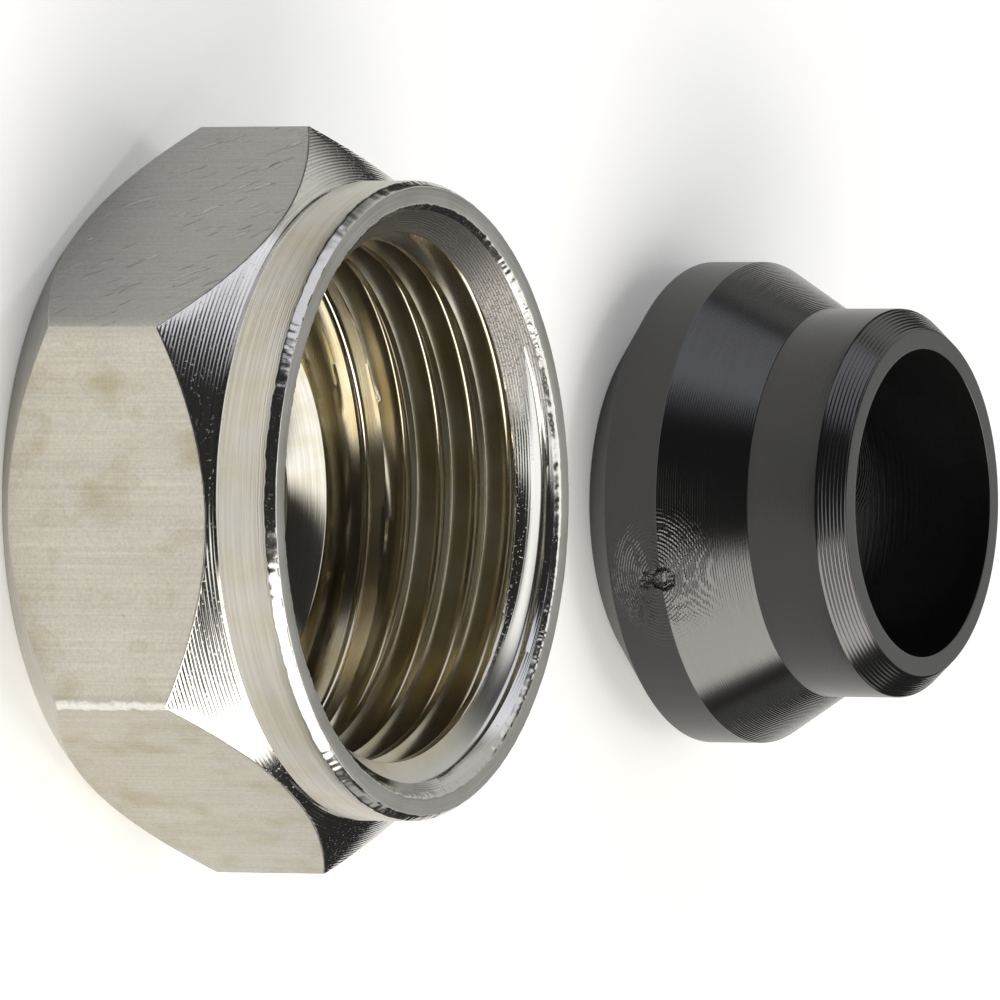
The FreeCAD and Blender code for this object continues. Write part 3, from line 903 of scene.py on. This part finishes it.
nut_materials = [
    drawn_flats(),
    turned_nickel("nickel_plate_on_turned_chamfers", ("#d6d4cf", "#cbc9c2"), 0.1, 0.18 * MM,
                  0.002, 0.003, 0.0045, mapped=False),
    turned_nickel("nickel_plate_on_turned_collar", ("#d8d5cd", "#d3ccbb"), 0.3, 0.12 * MM,
                  0.0014, 0.006, 0.001),
    torn_edge(),
    # The faced rim's grey base colour is partly its duller finish and partly painted shade
    turned_nickel("nickel_plate_on_faced_rim", ("#9b9a95", "#918f88"), 0.4, 0.1 * MM,
                  0.0003, 0.003, 0.003),
    thread_wall(),
    turned_nickel("nickel_plate_on_bored_seat", ("#cdcabf", "#c3bba3"), 0.1, 0.3 * MM,
                  0.0001, 0.0012, 0.0),
]
ring_materials = [
    moulded_plastic(),
    turned_plastic("black_plastic_turned_cone", 0.12 * MM, 0.0035),
    turned_plastic("black_plastic_turned_chamfer", 0.19 * MM, 0.006),
    turned_plastic("black_plastic_bored", 0.3 * MM, 0.0004),
]

nut = plated_nut(nut_materials)
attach(nut, "root")
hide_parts("union_nut")

ring = clamping_ring(ring_materials)
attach(ring, "root")
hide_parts("compression_ring")

# Floor: white card, which a camera sees a little lighter than it is, with its shadows kept. Under the nut's
# pipe hole it has a dark spot of painted shade, which the thread mirrors as darkness.
FLOOR_WIDTH = 80 * MM
FLOOR_LENGTH = 160 * MM
FLOOR_MIDDLE = 20 * MM
CARD_GLOW = 0.18
bpy.ops.mesh.primitive_plane_add(size=1)
floor = bpy.context.object
spread = Matrix.Diagonal((FLOOR_WIDTH, FLOOR_LENGTH, 1, 1))
floor.data.transform(Matrix.Translation((0, FLOOR_MIDDLE, 0)) @ spread)
floor.name = "floor"
floor_material, tree, shader = new_material("white_card", 0.0, 0.9)
radius = axis_distance(tree, add(tree, "TexCoord").outputs["Object"])
card = add(tree, "MapRange", {"Value": radius, "From Min": HOLE_RADIUS, "From Max": BACK_FACE_RADIUS})
# Painted shade: dark grey under the pipe hole, white card further out
card = add(tree, "ValToRGB", {0: card}, [(0.1, "#868682"), (0.6, "#f4f4f1")])
tree.links.new(card.outputs[0], shader.inputs["Base Color"])
shader.inputs["Emission Color"].default_value = (1, 1, 1, 1)
seen = add(tree, "LightPath").outputs["Is Camera Ray"]
seen = add(tree, "Math", {0: seen, 1: CARD_GLOW}, operation="MULTIPLY")
tree.links.new(seen.outputs[0], shader.inputs["Emission Strength"])
floor.data.materials.append(floor_material)


# World: a dark room with soft white windows. Each has the turn and lift of its middle, half its width and
# height and its soft border, all in degrees, then its strength and colour. The camera sees white behind the
# piece, but the metal mirrors the room, because the photo's metal mirrors a dark one.
WINDOWS = {
    "right": (66, 25, 34, 22, 4, 3.8, "#fffaf3"),
    "left": (-82, 28, 24, 20, 6, 1.3, "#e4e6f0"),
    "strip": (124, 3, 10, 5, 3, 0.7, "#f4f4f0"),
    "above": (140, 72, 29, 29, 5, 1.6, "#ffffff"),
    "behind": (-156, 25, 40, 20, 9, 0.75, "#f4f4f0"),
}
DARK = 0.03
world = bpy.data.worlds.new("studio")
bpy.context.scene.world = world
world.use_nodes = True
tree = world.node_tree
tree.nodes.clear()
way = add(tree, "TexCoord").outputs["Generated"]
light = (DARK, DARK, DARK)
for turn, lift, half_width, half_height, border, strength, colour in WINDOWS.values():
    # How far the way points to the window's front, side and top, and its two angles from the window's middle
    facing = (heading(turn, lift), heading(turn + 90, 0), heading(turn + 180, 90 - lift))
    front, side, up = (add(tree, "VectorMath", {0: way, 1: axis}, operation="DOT_PRODUCT").outputs["Value"]
                       for axis in facing)
    bearing = add(tree, "Math", {0: side, 1: front}, operation="ARCTAN2")
    rise = add(tree, "Math", {0: up}, operation="ARCSINE")
    share = strength
    for offset, half in ((bearing, half_width), (rise, half_height)):
        away = add(tree, "Math", {0: offset}, operation="ABSOLUTE")
        inside = add(tree, "MapRange", {"Value": away, "From Min": math.radians(half + border),
                                        "From Max": math.radians(half - border)},
                     interpolation_type="SMOOTHSTEP")
        share = add(tree, "Math", {0: inside, 1: share}, operation="MULTIPLY")
    tinted = add(tree, "VectorMath", {0: linear(colour)[:3], "Scale": share}, operation="SCALE")
    light = add(tree, "VectorMath", {0: light, 1: tinted}, operation="ADD")
room = add(tree, "Background", {"Color": light})
white = add(tree, "Background", {"Color": (1, 1, 1, 1)})
seen = add(tree, "LightPath").outputs["Is Camera Ray"]
seen = add(tree, "MixShader", {0: seen, 1: room, 2: white})
add(tree, "OutputWorld", {"Surface": seen})

# Camera, on the -Y side and turned so that +Z points right in the picture
LIFT = math.radians(27.45)
ROLL = math.radians(0.26)
DISTANCE = 725 * MM
FRAME_WIDTH = 46.02 * MM
AIM_RIGHT = 3.45 * MM
AIM_DOWN = -0.059 * MM
right = Vector((0, math.sin(LIFT), math.cos(LIFT)))
down = Vector((1, 0, 0))
ahead = Vector((0, math.cos(LIFT), -math.sin(LIFT)))
camera_data = bpy.data.cameras.new("camera")
camera_data.sensor_width = 36.0
camera_data.lens = camera_data.sensor_width * DISTANCE / FRAME_WIDTH
camera = bpy.data.objects.new("camera", camera_data)
bpy.context.scene.collection.objects.link(camera)
rolled_right = math.cos(ROLL) * right - math.sin(ROLL) * down
rolled_down = math.sin(ROLL) * right + math.cos(ROLL) * down
aim = Vector((0, 0, RIM_HEIGHT)) + AIM_RIGHT * right + AIM_DOWN * down
turn = Matrix((rolled_right, -rolled_down, -ahead)).transposed().to_4x4()
camera.matrix_world = Matrix.Translation(aim - DISTANCE * ahead) @ turn
bpy.context.scene.camera = camera

bpy.context.scene.view_settings.view_transform = "Standard"
